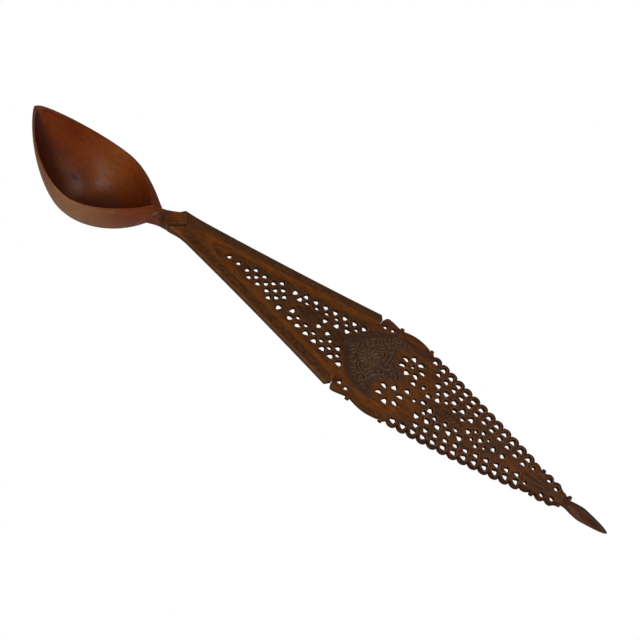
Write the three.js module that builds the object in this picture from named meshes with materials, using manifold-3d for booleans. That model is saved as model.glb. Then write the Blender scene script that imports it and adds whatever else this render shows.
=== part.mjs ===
// A carved and pierced wooden sherbet spoon, made of four glued pieces. Millimetres, +Z up.
//
// Every piece is drawn in the handle's own frame: x runs from the neck towards the finial, y is
// across the handle and z = 0 is the handle's face. At the end the whole spoon is tilted a few
// degrees, so that it lies on the underside of its bowl and on the bud at the far end.

import * as THREE from 'three';
import { mergeVertices } from 'three/addons/utils/BufferGeometryUtils.js';
import Module from 'manifold-3d';

// Glue gap between two pieces that fit together
const fit = 0.3;

// How far two forms of one piece run into each other
const overlap = 0.5;

// Bowl: deep, thin-walled and boat-shaped, with a blunt point at its tip
const bowlLength = 96.8;
const bowlBack = 1;                 // x where the two rims meet at the neck
const bowlHalfWidth = 29.7;
const bowlWidestFromBack = 46;
const bowlDepth = 29.6;             // from the rim down to the keel
const bowlDeepestFromBack = 49.7;
const bowlWall = 1.8;
const bowlTipWall = 3.4;            // along x, in the pointed tip
const bowlBackWall = 7;             // along x, where the stem grows out
const rimDip = -10.2;               // z of the lowest place on the rim
const rimDipFromBack = 42.7;
const rimRiseToTip = 15.9;
const rimRiseToBack = 8.6;
const keelRunout = 3.6;               // the keel line ends this far behind the rims
const sectionPower = 2.08;          // 2 would be an ellipse, more is squarer
const planCurve = { tip: 1.8, back: 1.6 };   // how full the rim is towards each end, seen from above
const planBlunt = { tip: 0.8, back: 1 };      // less than 1 rounds that end off
const keelCurve = { tip: 1, back: 3.1 };      // how full the keel line is towards each end
const keelBlunt = 0.88;
const planSoftness = 0.3;           // rounds the rim off over its widest place
const keelSoftness = 0.25;          // and the keel under its deepest place

// Stem: carved in one with the bowl, it ends in an arrow head that fills the handle's notch
const neckHalfWidth = 3.7;
const neckTop = -3.9;
const neckBottom = -14.4;
const neckRidge = 0.7;              // low ridge along the top of the stem
const stemRoot = 9;                 // how far the stem reaches back under the bowl's end
const cornerX = 12;                 // the stem's two corners, where the arrow head starts
const cornerHalfWidth = 9.1;
const cornerBottom = -6.4;
const arrowLength = 6.5;
const notchGap = 0.5;               // between the arrow head and the notch, along x
const tongueLength = 22;            // glued under the handle, from the corners on
const tongueInset = 1.4;            // how far the tongue stays inside the handle's edges
const tongueEnd = 0.8;              // its thickness at the thin end
const stemBevel = 0.9;
const stemCurve = { side: 1.75, top: 1.3, bottom: 0.8 };

// Handle frame: a yoke that forks into two rails
const frameThickness = 2.6;
const frameHalfWidthAtNeck = 7.9;
const frameHalfWidthAtEnd = 34.5;
const frameBow = 0.9;               // how far the long edges bow inwards
const neckFlare = 0.9;              // how much wider the yoke is where it meets the stem
const neckFlareLength = 14;
const railLength = 126.1;           // from the corners to the outer corner of a rail's end
const railWidth = 8.5;
const railEndSlope = 2.2;           // the rail's end runs on by this much along x
const railEndDrop = 3.2;            // and comes in by this much across
const lipThickness = 1.2;           // the rails' inner lip, which covers the panel's tongue
const lapWidth = 2.5;

// The hand-cut handle is not quite straight: its broad part stands over to the far side
const swayWidth = 1.2;
const swayStart = 122;              // measured from the corners
const swayRise = 28;
const swayEnd = 206;
const swayFall = 53;

// Pierced panel
const panelDrop = 0.3;              // its face lies this far under the rails' face
const panelThickness = 2.2;
const noseFromCorner = 24;          // the panel's pointed nose, measured from the corners
const noseLength = 8;
const shoulderHalfWidth = 35.2;
const shoulderFromRail = 5.1;       // this and the next places are measured from the rails' end
const waistHalfWidth = 33.2;
const lobeHalfWidth = 35.1;
const nibOneFromRail = 14.7;
const nibTwoFromRail = 36.2;
const nibWidth = 2.6;
const nibHeight = 1.9;
const nibTwoInset = 0.8;            // the second nib starts this much further in than the first

// Scalloped tail of the panel: one loop stands on each scallop
const tailFromRail = 41.7;
const tailPitch = 6.12;
const tailLoops = 13;
const tailFirstY = 28.3;
const tailLastY = 9.9;
const tailBow = 0.8;                // how far the edge bows outwards
const scallopOut = 4.1;             // from the middle of a loop to the top of its scallop
const scallopValley = 1.9;
const tailRowGap = 5.2;             // from the first row of loops to the second
const innerRowGap = 6.3;
const lastRowGap = 4.6;
const secondRowStart = { far: 1, near: 2 };   // counted in loops of the first row
const secondRowShift = 0.05;
const thirdRow = { start: 1.85, holes: 5 };
const fourthRow = { start: 2.45, holes: 4 };
const innerRowPitch = 1.08;

// Narrow end of the panel
const endNibFromTail = 84.1;
const endNibHalfWidth = 10.7;
const endScallops = [[88.8, 10.1], [95, 8.4]];   // the crowns of its two scallops: x, y
const endScallopFoot = [2.6, 1.6];  // a scallop starts this far before its crown and lower
const endScallopHeel = [1.6, 0.5];
const endHoles = [[89.4, 6.1], [95, 4.1]];
const endHoleSize = [2.8, 3.4];
const panelEndFromTail = 101;
const panelEndHalfWidth = 4;

// Openings of the lattice
const loopWidth = 3.2;
const loopHeight = 4;
const secondLoopSize = [3, 3.6];
const thirdLoopSize = [3.2, 4.2];
const fourthLoopSize = [2.7, 3.4];
const shoulderHoleSize = [2.3, 3.5];
const ovalWidth = 3;
const ovalHeight = 4;

// Wedge of lattice between the rails
const wedgePitch = 6.6;
const wedgeFirstHole = 13.3;        // from the nose to the first hole on the axis
const wedgeRowGap = 3.9;
const wedgeRows = [7, 4, 1];
const wedgeRowStart = 2.5;          // each row starts this many holes after the one before it
const slantStart = 62.7;            // from the nose to the first hole of the slanted rows
const slantFirstY = 10.4;
const slantPitch = 6.26;
const slantSlope = 0.176;
const slantBow = 0.25;              // the rows stand out this much in their middle
const slantHoles = 7;
const slantRowGap = 4.2;
const slantSizes = { far: [3.1, 4.3], near: [3.6, 4.3] };
const slantInnerSizes = { far: [2.7, 3.2], near: [3, 3.2] };
const wedgeSlip = 0.7;              // the two halves are set out this much apart along x
const wedgeSingles = {              // from the nose: x, y, width, height
  far: [
    [55.8, 8.3, 3, 5], [60.2, 5.9, 2.8, 4.9], [79.5, 4, 2.8, 4.4], [86.2, 6, 3, 5],
    [92.8, 7.7, 3.5, 4.4],
  ],
  near: [
    [54.6, 8.9, 3, 5], [61.6, 4.9, 2.8, 4.9], [78.8, 2.1, 3, 4.4], [85.4, 2.8, 2.8, 4.4],
    [89.1, 6.7, 2.2, 3.8], [95.2, 7.8, 3, 4.2],
  ],
};

// Roundels: two rings of petals beside the medallion
const roundels = {
  far: { fromRail: 32.7, y: 13.9, petals: 7, turn: 0.1 },
  near: { fromRail: 31.5, y: -13.9, petals: 6, turn: 0.5 },
};
const roundelRadius = 6.3;
const petalWidth = 3.4;
const petalHeight = 4.6;

// Raised carved medallion: half of its outline, from its point by the wedge, round to the back
const medallionHeight = 0.9;
const medallionOutline = [
  [-7.6, 0], [-4, 7.5], [1, 16], [7, 22.2], [14, 25.6], [22, 26.6],
  [27, 24.6], [22.4, 20], [21.6, 12.5], [25, 7], [31.5, 3.4], [34, 0],
];

// Finial: a bud, turned and then flattened, with a socket for the panel's tail tongue
const budRadius = 4.1;
const budWidestFromEnd = 12.5;
const budLength = 29.5;
const budNeckLength = 0.8;
const budFlattening = 0.85;
const budNeckRadius = 2.4;
const budTipBlunt = 0.68;
const collarRadius = 3.2;
const collarLength = 2.4;
const collarRaise = 2;              // the carved collar sits high on the bud's neck
const tailTongueLength = 8;
const tailTongueHalfWidth = 1.7;
const tailTongueThickness = 1.2;

// How the spoon lies
const restFlatDepth = 0.35;         // pared off the keel, so that the bowl stands steady

// Places that follow from the sizes
const bowlTip = bowlBack - bowlLength;
const railEnd = cornerX + railLength;
const noseX = cornerX + noseFromCorner;
const tailX = railEnd + tailFromRail;
const panelEndX = tailX + panelEndFromTail;
const panelFace = -panelDrop;
const panelBack = panelFace - panelThickness;
const panelMiddle = (panelFace + panelBack) / 2;

// Solids
const wasm = await Module();
wasm.setup();

// A closed geometry as a solid, with doubled corners merged and empty triangles left out
function solidOf(geometry) {
  const bare = new THREE.BufferGeometry();
  bare.setAttribute('position', geometry.attributes.position);
  bare.setIndex(geometry.index);
  const merged = mergeVertices(bare, 1e-5);
  const triangles = [];
  const index = merged.index.array;
  for (let i = 0; i < index.length; i += 3) {
    const [a, b, c] = [index[i], index[i + 1], index[i + 2]];
    if (a !== b && b !== c && c !== a) triangles.push(a, b, c);
  }
  return new wasm.Manifold(new wasm.Mesh({
    numProp: 3,
    vertProperties: new Float32Array(merged.attributes.position.array),
    triVerts: new Uint32Array(triangles),
  }));
}

function meshOf(name, solid, colour, roughness) {
  const { vertProperties, triVerts, numProp } = solid.getMesh();
  const points = [];
  for (let i = 0; i < vertProperties.length; i += numProp) {
    points.push(vertProperties[i], vertProperties[i + 1], vertProperties[i + 2]);
  }
  const geometry = new THREE.BufferGeometry();
  geometry.setAttribute('position', new THREE.Float32BufferAttribute(points, 3));
  geometry.setIndex(Array.from(triVerts));
  geometry.computeVertexNormals();
  const material = new THREE.MeshStandardMaterial({ color: colour, roughness, metalness: 0 });
  const mesh = new THREE.Mesh(geometry, material);
  mesh.name = name;
  return mesh;
}

// A skin through rings of equally many points, closed by a fan at each end
function loft(rings) {
  const count = rings[0].length;
  const points = rings.flat().flatMap((p) => [p.x, p.y, p.z]);
  const faces = [];
  for (let i = 0; i + 1 < rings.length; i++) {
    for (let j = 0; j < count; j++) {
      const a = i * count + j;
      const b = i * count + (j + 1) % count;
      faces.push(a, b, a + count, b, b + count, a + count);
    }
  }
  const last = (rings.length - 1) * count;
  for (let j = 1; j + 1 < count; j++) {
    faces.push(0, j + 1, j, last, last + j, last + j + 1);
  }
  const geometry = new THREE.BufferGeometry();
  geometry.setAttribute('position', new THREE.Float32BufferAttribute(points, 3));
  geometry.setIndex(faces);
  return geometry;
}

// A flat outline, as [x, y] points with holes, between two heights
function slab(outline, bottom, top, holes = []) {
  const shape = new THREE.Shape(outline.map(([x, y]) => new THREE.Vector2(x, y)));
  shape.holes = holes.map((hole) => new THREE.Path(hole.map(([x, y]) => new THREE.Vector2(x, y))));
  const geometry = new THREE.ExtrudeGeometry(shape, { depth: top - bottom, bevelEnabled: false });
  return solidOf(geometry.translate(0, 0, bottom));
}

// Rises smoothly from 0 to 1 as t does
function smoothStep(t) {
  const u = Math.min(Math.max(t, 0), 1);
  return u * u * (3 - 2 * u);
}

// How far the handle stands over to the far side at x
function sway(x) {
  const rise = smoothStep((x - cornerX - swayStart) / swayRise);
  const fall = smoothStep((x - cornerX - swayEnd + swayFall) / swayFall);
  return swayWidth * rise * (1 - fall);
}

// A flat layer of the handle, drawn straight and then set over by the sway
function handleLayer(outline, bottom, top, holes = []) {
  const swayed = (points) => points.map(([x, y]) => [x, y + sway(x)]);
  return slab(swayed(outline), bottom, top, holes.map(swayed));
}

function block(x0, x1, halfWidth, bottom, top) {
  return slab([[x0, -halfWidth], [x1, -halfWidth], [x1, halfWidth], [x0, halfWidth]], bottom, top);
}

const mirrored = (points) => points.map(([x, y]) => [x, -y]).reverse();
const steps = (count) => Array.from({ length: count + 1 }, (_, i) => i / count);

// Bowl with its stem

// Height of the rim: a parabola on each side of its lowest place
function rimHeight(x) {
  const dip = bowlBack - rimDipFromBack;
  const [end, rise] = x < dip ? [bowlTip, rimRiseToTip] : [bowlBack, rimRiseToBack];
  return rimDip + rise * ((x - dip) / (end - dip)) ** 2;
}

// u to a power, with its start rounded off, from 0 at u = 0 to 1 at u = 1
function softPower(u, power, softness) {
  const raised = (v) => (v * v + softness * softness) ** (power / 2);
  return (raised(u) - raised(0)) / (raised(1) - raised(0));
}

// Half width and depth at a station, for the outer form or, drawn in by the wall, the inner one
function bowlForm(x, inner) {
  const tip = bowlTip + (inner ? bowlTipWall : 0);
  const back = bowlBack - (inner ? bowlBackWall : 0);
  const wall = inner ? bowlWall : 0;
  const widest = bowlBack - bowlWidestFromBack;
  const deepest = bowlBack - bowlDeepestFromBack;
  const [widthEnd, plan] = x < widest ? [tip, 'tip'] : [back, 'back'];
  const [depthEnd, keel] = x < deepest ? [tip, 'tip'] : [back + keelRunout, 'back'];
  const across = 1 - softPower((x - widest) / (widthEnd - widest), planCurve[plan], planSoftness);
  const down = 1 - softPower((x - deepest) / (depthEnd - deepest), keelCurve[keel], keelSoftness);
  return {
    halfWidth: (bowlHalfWidth - wall) * Math.max(across, 0) ** planBlunt[plan],
    depth: (bowlDepth - wall) * Math.max(down, 0) ** keelBlunt,
  };
}

const keelHeight = (x) => rimHeight(x) - bowlForm(x, false).depth;

// Stations along the bowl, closer together at its two ends
function bowlStations(start, end, count) {
  return steps(count).map((s) => start + (end - start) * (1 - Math.cos(Math.PI * s)) / 2);
}

// One section, from the near rim round the keel to the far rim
function bowlSection(x, inner, segments) {
  const { halfWidth, depth } = bowlForm(x, inner);
  return steps(segments).map((s) => {
    const angle = Math.PI * (1 - s);
    const across = Math.sign(Math.cos(angle)) * Math.abs(Math.cos(angle)) ** (2 / sectionPower);
    const down = Math.abs(Math.sin(angle)) ** (2 / sectionPower);
    return new THREE.Vector3(x, halfWidth * across, rimHeight(x) - depth * down);
  });
}

function bowlBody() {
  const rings = bowlStations(bowlTip, bowlBack, 30).map((x) => bowlSection(x, false, 20));
  return solidOf(loft(rings));
}

// The hollow, carried on upwards past the rim so that it cuts right through
function bowlHollow() {
  const clear = bowlDepth;
  const rings = bowlStations(bowlTip + bowlTipWall, bowlBack - bowlBackWall, 28).map((x) => {
    const section = bowlSection(x, true, 20);
    const above = (p) => new THREE.Vector3(p.x, p.y, p.z + clear);
    return [above(section[0]), ...section, above(section.at(-1))];
  });
  return solidOf(loft(rings));
}

// The stem narrows at the neck and flares to the two corners of the arrow head
function stemBody() {
  const rings = bowlStations(bowlBack - stemRoot, cornerX, 9).map((x) => {
    const s = x / cornerX;
    const flare = Math.max(s, 0) ** stemCurve.side;
    const half = neckHalfWidth + (cornerHalfWidth - neckHalfWidth) * flare;
    const top = neckTop * (1 - s) ** stemCurve.top;
    const bottom = cornerBottom + (neckBottom - cornerBottom) * (1 - s) ** stemCurve.bottom;
    const ridge = top + neckRidge * Math.min(1 - s, 1);
    return [
      [0, ridge], [-half, top], [-half, bottom + stemBevel], [-half + stemBevel, bottom],
      [half - stemBevel, bottom], [half, bottom + stemBevel], [half, top],
    ].map(([y, z]) => new THREE.Vector3(x, y, z));
  });
  return solidOf(loft(rings));
}

function arrowHead() {
  const half = frameEdge(cornerX);
  const outline = [
    [cornerX - overlap, -half], [cornerX, -half], [cornerX + arrowLength, 0],
    [cornerX, half], [cornerX - overlap, half],
  ];
  return slab(outline, -frameThickness - fit - overlap, 0);
}

// Thin wedge of wood that runs on under the yoke and is glued to its back
function stemTongue() {
  const top = -frameThickness - fit;
  const section = (x, bottom) => {
    const half = frameEdge(x) - tongueInset;
    return [[-half, top], [-half, bottom], [half, bottom], [half, top]]
      .map(([y, z]) => new THREE.Vector3(x, y, z));
  };
  return solidOf(loft([
    section(cornerX - overlap, cornerBottom),
    section(cornerX + tongueLength, top - tongueEnd),
  ]));
}

// Handle frame

// Half width of the handle at x: a straight taper, bowed in a little and flared at the neck
function frameEdge(x) {
  const s = (x - cornerX) / railLength;
  const straight = frameHalfWidthAtNeck + (frameHalfWidthAtEnd - frameHalfWidthAtNeck) * s;
  const flare = neckFlare * Math.max(1 - (x - cornerX) / neckFlareLength, 0) ** 2;
  return straight - 4 * frameBow * s * (1 - s) + flare;
}

// Inner edge of a rail, or of the slot behind its lip where inset is given
const railInside = (x, inset = 0) => frameEdge(x) - railWidth + inset;

// Far half of the opening between the rails: a pointed nose, then along the rail
function openingEdge(inset, end) {
  const noseEnd = noseX + noseLength;
  const along = steps(12).map((s) => noseEnd + (end - noseEnd) * s);
  return [[noseX - inset, 0], ...along.map((x) => [x, railInside(x, inset)])];
}

function frameLayer(inset, bottom, top) {
  const end = railEnd + railEndSlope;
  const outer = steps(18).map((s) => cornerX + railLength * s).map((x) => [x, frameEdge(x)]);
  const half = [...outer, [end, frameEdge(railEnd) - railEndDrop]];
  const opening = openingEdge(inset, end);
  const notch = [cornerX + arrowLength + notchGap, 0];
  const start = cornerX + notchGap;
  const far = half.map(([x, y], i) => (i === 0 ? [start, y] : [x, y]));
  return handleLayer([
    notch, ...mirrored(far).reverse(), ...mirrored(opening.slice(1)), opening[0],
    ...opening.slice(1), ...far.reverse(),
  ], bottom, top);
}

function handleFrame() {
  const lip = frameLayer(0, -lipThickness, 0);
  return lip.add(frameLayer(lapWidth + fit, -frameThickness, -lipThickness));
}

// Pierced panel

// A row of places along the tail's edge, each with the direction that the edge faces
function tailPlace(k) {
  const run = tailPitch * (tailLoops - 1);
  const s = k * tailPitch / run;
  const y = tailFirstY + (tailLastY - tailFirstY) * s + 4 * tailBow * s * (1 - s);
  const slope = (tailLastY - tailFirstY + 4 * tailBow * (1 - 2 * s)) / run;
  return { x: tailX + tailPitch * k, y, turn: Math.atan(slope) };
}

// The same place moved in from the edge
function tailInward(k, distance) {
  const { x, y, turn } = tailPlace(k);
  return { x: x + distance * Math.sin(turn), y: y - distance * Math.cos(turn), turn };
}

// A closed hole: a straight foot and a round head, turned and set at a place
function arch({ x, y, turn = 0 }, width = loopWidth, height = loopHeight) {
  const headY = (height - width) / 2;
  const head = steps(4).map((s) => [Math.cos(Math.PI * s), Math.sin(Math.PI * s)]);
  const points = [
    [-width / 2, -height / 2], [width / 2, -height / 2],
    ...head.map(([c, r]) => [c * width / 2, headY + r * width / 2]),
  ];
  return placed(points, x, y, turn);
}

function oval({ x, y, turn = 0 }, width = ovalWidth, height = ovalHeight, sides = 8) {
  const points = steps(sides).slice(1).map((s) => {
    const angle = 2 * Math.PI * s;
    return [Math.cos(angle) * width / 2, Math.sin(angle) * height / 2];
  });
  return placed(points, x, y, turn);
}

function placed(points, x, y, turn) {
  const [c, s] = [Math.cos(turn), Math.sin(turn)];
  return points.map(([u, v]) => [x + u * c - v * s, y + u * s + v * c]);
}

// Outline of a nib that stands out from the edge at height y
const nib = (x, y) => [
  [x - nibWidth / 2, y], [x - nibWidth / 2, y + nibHeight],
  [x + nibWidth / 2, y + nibHeight], [x + nibWidth / 2, y],
];

// Round top of a scallop: an arc through its two valleys, with its crown at the middle
function scallop(k) {
  const { x, y, turn } = tailPlace(k);
  const half = tailPitch / 2 / Math.cos(turn);
  const sagitta = scallopOut - scallopValley;
  const radius = (half ** 2 + sagitta ** 2) / (2 * sagitta);
  const reach = Math.asin(Math.min(half / radius, 1));
  const arc = steps(4).slice(0, -1).map((s) => {
    const angle = reach * (2 * s - 1);
    return [radius * Math.sin(angle), scallopOut - radius + radius * Math.cos(angle)];
  });
  return placed(arc, x, y, turn);
}

// Far edge of the panel past the rails, from the shoulder to the tail tongue
function panelEdge() {
  const nibOne = railEnd + nibOneFromRail;
  const nibTwo = railEnd + nibTwoFromRail;
  const lobe = steps(6).slice(1, -1).map((s) => {
    const rise = (lobeHalfWidth - waistHalfWidth) * Math.sin(Math.PI * s);
    return [nibOne + nibWidth / 2 + (nibTwo - nibOne - nibWidth) * s, waistHalfWidth + rise];
  });
  const scallops = Array.from({ length: tailLoops }, (_, k) => scallop(k)).flat();
  const lastValley = tailInward(tailLoops - 0.5, -scallopValley);
  const ending = endScallops.flatMap(([x, y]) => [
    [x - endScallopFoot[0], y - endScallopFoot[1]], [x, y],
    [x + endScallopHeel[0], y - endScallopHeel[1]],
  ]);
  return [
    [railEnd + railEndSlope + fit, frameEdge(railEnd) - railEndDrop],
    [railEnd + shoulderFromRail, shoulderHalfWidth],
    ...nib(nibOne, waistHalfWidth), ...lobe, ...nib(nibTwo, waistHalfWidth - nibTwoInset),
    ...scallops,
    [lastValley.x, lastValley.y],
    ...nib(tailX + endNibFromTail, endNibHalfWidth - nibHeight),
    ...ending.map(([x, y]) => [tailX + x, y]),
    [panelEndX, panelEndHalfWidth],
  ];
}

function panelOutline() {
  const start = openingEdge(-fit, railEnd + railEndSlope + fit);
  const far = [...start, ...panelEdge()];
  return [...far, ...mirrored(far.slice(1))];
}

// The tongue round the wedge's edge, which lies in the slot behind the rails' lip
function edgeTongue() {
  const end = railEnd + railEndSlope + fit + overlap;
  const outside = openingEdge(lapWidth, end);
  const inside = openingEdge(-fit - overlap, end);
  return handleLayer([
    ...[...outside].reverse(), ...mirrored(outside.slice(1)).reverse(),
    ...mirrored(inside.slice(1)), ...inside,
  ], panelBack, -lipThickness - fit);
}

// Holes of the wedge on one side: bricks near the nose, then two slanted rows along the rail
function wedgeHoles(side) {
  const holes = [];
  const name = side > 0 ? 'far' : 'near';
  const slip = -side * wedgeSlip;
  for (let row = 1; row < wedgeRows.length; row++) {
    const first = noseX + wedgeFirstHole + wedgePitch * wedgeRowStart * row;
    for (let k = 0; k < wedgeRows[row]; k++) {
      holes.push(oval({ x: first + wedgePitch * k, y: wedgeRowGap * row }));
    }
  }
  const slanted = (k, depth) => {
    const along = slantPitch * k;
    const bow = slantBow * Math.sin(Math.PI * k / (slantHoles - 1));
    const y = slantFirstY + slantSlope * along + bow - depth;
    return { x: noseX + slantStart + along + slip, y, turn: Math.atan(slantSlope) };
  };
  for (let k = 0; k < slantHoles; k++) {
    holes.push(oval(slanted(k, 0), ...slantSizes[name]));
    if (k < slantHoles - 1) {
      holes.push(oval(slanted(k + 0.5, slantRowGap), ...slantInnerSizes[name]));
    }
  }
  for (const [x, y, width, height] of wedgeSingles[name]) {
    holes.push(oval({ x: noseX + x, y }, width, height));
  }
  return holes;
}

// Holes of the broad part and the tail on one side
function tailHoles(firstOfSecond) {
  const holes = [];
  for (let k = 0; k < tailLoops; k++) {
    holes.push(arch(tailPlace(k)));
    if (k >= firstOfSecond) {
      holes.push(arch(tailInward(k + secondRowShift, tailRowGap), ...secondLoopSize));
    }
  }
  for (let i = 0; i < thirdRow.holes; i++) {
    const place = tailInward(thirdRow.start + innerRowPitch * i, tailRowGap + innerRowGap);
    holes.push(arch(place, ...thirdLoopSize));
  }
  for (let i = 0; i < fourthRow.holes; i++) {
    const depth = tailRowGap + innerRowGap + lastRowGap;
    const place = tailInward(fourthRow.start + innerRowPitch * i, depth);
    holes.push(oval(place, ...fourthLoopSize));
  }
  for (const [x, y] of endHoles) {
    holes.push(oval({ x: tailX + x, y, turn: tailPlace(tailLoops).turn }, ...endHoleSize));
  }
  return holes;
}

// Single holes beside the axis, measured from the start of the tail: x, y, width, height
const singleHoles = [
  [-3.1, 4, 3.5, 3.8], [2.9, 6.2, 2.1, 3.3], [7.9, 3.2, 3.5, 3.5], [13.4, 5.1, 3.2, 4.6],
  [41, 3.4, 1.8, 3.2], [45, 5.9, 2.4, 3.6], [49.4, 3.5, 1.6, 3], [78.4, 6.5, 2.2, 3],
];
const axisHoles = [37.1, 45.6, 54.1, 60.4];
const axisHoleSize = [2.7, 4.2];
const eyeSize = [1.9, 3];           // the hole in the middle of the far roundel
const shoulderHoles = [[6, 28], [10.9, 29.2]];

// A ring of petals: each one points to the roundel's middle
function roundelHoles({ fromRail, y, petals, turn }) {
  return Array.from({ length: petals }, (_, k) => {
    const angle = 2 * Math.PI * (k + turn) / petals;
    return oval({
      x: railEnd + fromRail + roundelRadius * Math.cos(angle),
      y: y + roundelRadius * Math.sin(angle),
      turn: angle + Math.PI / 2,
    }, petalWidth, petalHeight);
  });
}

function panelHoles() {
  const single = [
    ...singleHoles.map(([x, y, w, h]) => oval({ x: tailX + x, y }, w, h)),
    ...shoulderHoles.map(([x, y]) => oval({ x: railEnd + x, y }, ...shoulderHoleSize)),
  ];
  const axis = [
    ...Array.from({ length: wedgeRows[0] }, (_, k) => noseX + wedgeFirstHole + wedgePitch * k),
    ...axisHoles.map((x) => tailX + x),
  ].map((x) => oval({ x, y: 0 }, ...axisHoleSize));
  return [
    ...single, ...single.map(mirrored),
    ...tailHoles(secondRowStart.far), ...tailHoles(secondRowStart.near).map(mirrored),
    ...wedgeHoles(1), ...wedgeHoles(-1).map(mirrored),
    ...axis,
    ...roundelHoles(roundels.far), ...roundelHoles(roundels.near),
    oval({ x: railEnd + roundels.far.fromRail, y: roundels.far.y }, ...eyeSize),
  ];
}

function piercedPanel() {
  const board = handleLayer(panelOutline(), panelBack, panelFace, panelHoles());
  const far = medallionOutline.map(([x, y]) => [railEnd + x, y]);
  const medallion = handleLayer([...far, ...mirrored(far.slice(1, -1))], panelFace - overlap,
    panelFace + medallionHeight);
  const tongue = block(panelEndX - overlap, panelEndX + tailTongueLength, tailTongueHalfWidth,
    panelMiddle - tailTongueThickness / 2, panelMiddle + tailTongueThickness / 2);
  return board.add(edgeTongue()).add(medallion).add(tongue);
}

// Finial

// Half outline of the bud, as [radius, distance from the panel's end]
function budProfile() {
  const neck = fit + collarLength + budNeckLength;
  const belly = steps(5).map((s) => {
    const swell = Math.sin(Math.PI / 2 * s);
    return [budNeckRadius + (budRadius - budNeckRadius) * swell, neck + (budWidestFromEnd - neck) * s];
  });
  const taper = steps(8).slice(1).map((t) => {
    const s = Math.sin(Math.PI / 2 * t);
    return [budRadius * (1 - s) ** budTipBlunt, budWidestFromEnd + (budLength - budWidestFromEnd) * s];
  });
  return [[0, fit], [budNeckRadius, fit], ...belly, ...taper];
}

function finial() {
  const profile = budProfile().map(([radius, along]) => new THREE.Vector2(radius, along));
  const turned = new THREE.LatheGeometry(profile, 20)
    .rotateZ(-Math.PI / 2)
    .scale(1, 1, budFlattening)
    .translate(panelEndX, 0, panelMiddle);
  const collar = new THREE.SphereGeometry(1, 20, 10)
    .scale(collarLength / 2, collarRadius, collarRadius * budFlattening)
    .translate(panelEndX + fit + collarLength / 2, 0, panelMiddle + collarRaise);
  const half = tailTongueThickness / 2 + fit;
  const socket = block(panelEndX, panelEndX + tailTongueLength + fit, tailTongueHalfWidth + fit,
    panelMiddle - half, panelMiddle + half);
  return solidOf(turned).add(solidOf(collar)).subtract(socket);
}

// How the spoon lies: the tilt at which the pared keel and the bud's belly stand level
function restTilt() {
  const keel = bowlStations(bowlTip, bowlBack, 400).map((x) => [x, keelHeight(x)]);
  const bud = budProfile().map(([r, along]) => [panelEndX + along, panelMiddle - r * budFlattening]);
  const lowest = (points, tilt) => Math.min(
    ...points.map(([x, z]) => z * Math.cos(tilt) - x * Math.sin(tilt)));
  let [low, high] = [0, Math.PI / 4];
  for (let i = 0; i < 50; i++) {
    const tilt = (low + high) / 2;
    const budIsHigher = lowest(bud, tilt) > lowest(keel, tilt) + restFlatDepth;
    [low, high] = budIsHigher ? [tilt, high] : [low, tilt];
  }
  return { tilt: low, ground: lowest(bud, low) };
}

const { tilt, ground } = restTilt();

// Everything under the table's top, in the handle's frame
function belowGround() {
  const size = 4 * bowlLength;
  const slabUnder = new THREE.BoxGeometry(size, size, size)
    .translate(0, 0, ground - size / 2)
    .rotateY(-tilt);
  return solidOf(slabUnder);
}

const bowl = bowlBody().add(stemBody()).add(arrowHead()).add(stemTongue())
  .subtract(bowlHollow())
  .subtract(belowGround());

const spoon = new THREE.Group();
spoon.add(meshOf('bowl', bowl, 0x6b3312, 0.45));
spoon.add(meshOf('handle_frame', handleFrame(), 0x54301a, 0.5));
spoon.add(meshOf('pierced_panel', piercedPanel(), 0x5a3415, 0.5));
spoon.add(meshOf('finial', finial(), 0x4c2a17, 0.5));
spoon.rotation.y = tilt;

// The origin is on the table, under the middle of the spoon
spoon.updateMatrixWorld(true);
const box = new THREE.Box3().setFromObject(spoon, true);
const middle = box.getCenter(new THREE.Vector3());
spoon.position.set(-middle.x, -middle.y, -box.min.z);

export default spoon;
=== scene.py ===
# The looks of a carved and pierced wooden sherbet spoon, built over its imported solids.

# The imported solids, and how the spoon lies
# Every piece is drawn in the handle's own frame, in millimetres: x runs from the neck to the
# finial, y is across the handle and z = 0 is the handle's face. lay() then puts it on the table.
import math

import bpy
import numpy as np
from mathutils import Matrix
from mathutils.geometry import delaunay_2d_cdt


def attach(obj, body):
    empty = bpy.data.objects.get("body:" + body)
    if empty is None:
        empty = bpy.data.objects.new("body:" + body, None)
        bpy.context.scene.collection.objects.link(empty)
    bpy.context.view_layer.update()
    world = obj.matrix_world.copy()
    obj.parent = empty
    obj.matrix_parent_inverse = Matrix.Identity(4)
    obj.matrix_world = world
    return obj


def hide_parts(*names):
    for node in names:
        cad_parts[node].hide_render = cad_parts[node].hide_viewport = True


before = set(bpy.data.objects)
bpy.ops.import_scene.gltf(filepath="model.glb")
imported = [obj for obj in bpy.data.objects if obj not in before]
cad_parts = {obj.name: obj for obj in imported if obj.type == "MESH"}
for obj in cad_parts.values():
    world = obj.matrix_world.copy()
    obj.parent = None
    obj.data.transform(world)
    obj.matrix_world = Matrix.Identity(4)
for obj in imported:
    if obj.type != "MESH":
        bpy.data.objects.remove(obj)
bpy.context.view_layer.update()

rest_tilt = math.radians(5.8804)
rest_place = np.array([-106.9059, -0.7018, 34.9088])
tilt_cos, tilt_sin = math.cos(rest_tilt), math.sin(rest_tilt)
rest_turn = np.array([[tilt_cos, 0, tilt_sin], [0, 1, 0], [-tilt_sin, 0, tilt_cos]])


def lay(points):
    """Points of the handle's frame, in mm, as they lie on the table, in metres: turned and moved."""
    return (np.asarray(points, float) @ rest_turn.T + rest_place) / 1000


# Camera, table and lamps
# The camera stands over the near side of the handle and is rolled, so that the spoon runs from
# the upper left to the lower right. The table is white, under three large soft lamps.
camera_place = (191.0, -477.4, 487.5)
camera_aim = (113.04, 1.03, 0.0)
camera_roll = math.radians(29.565)
camera_focal = 68.27


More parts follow.
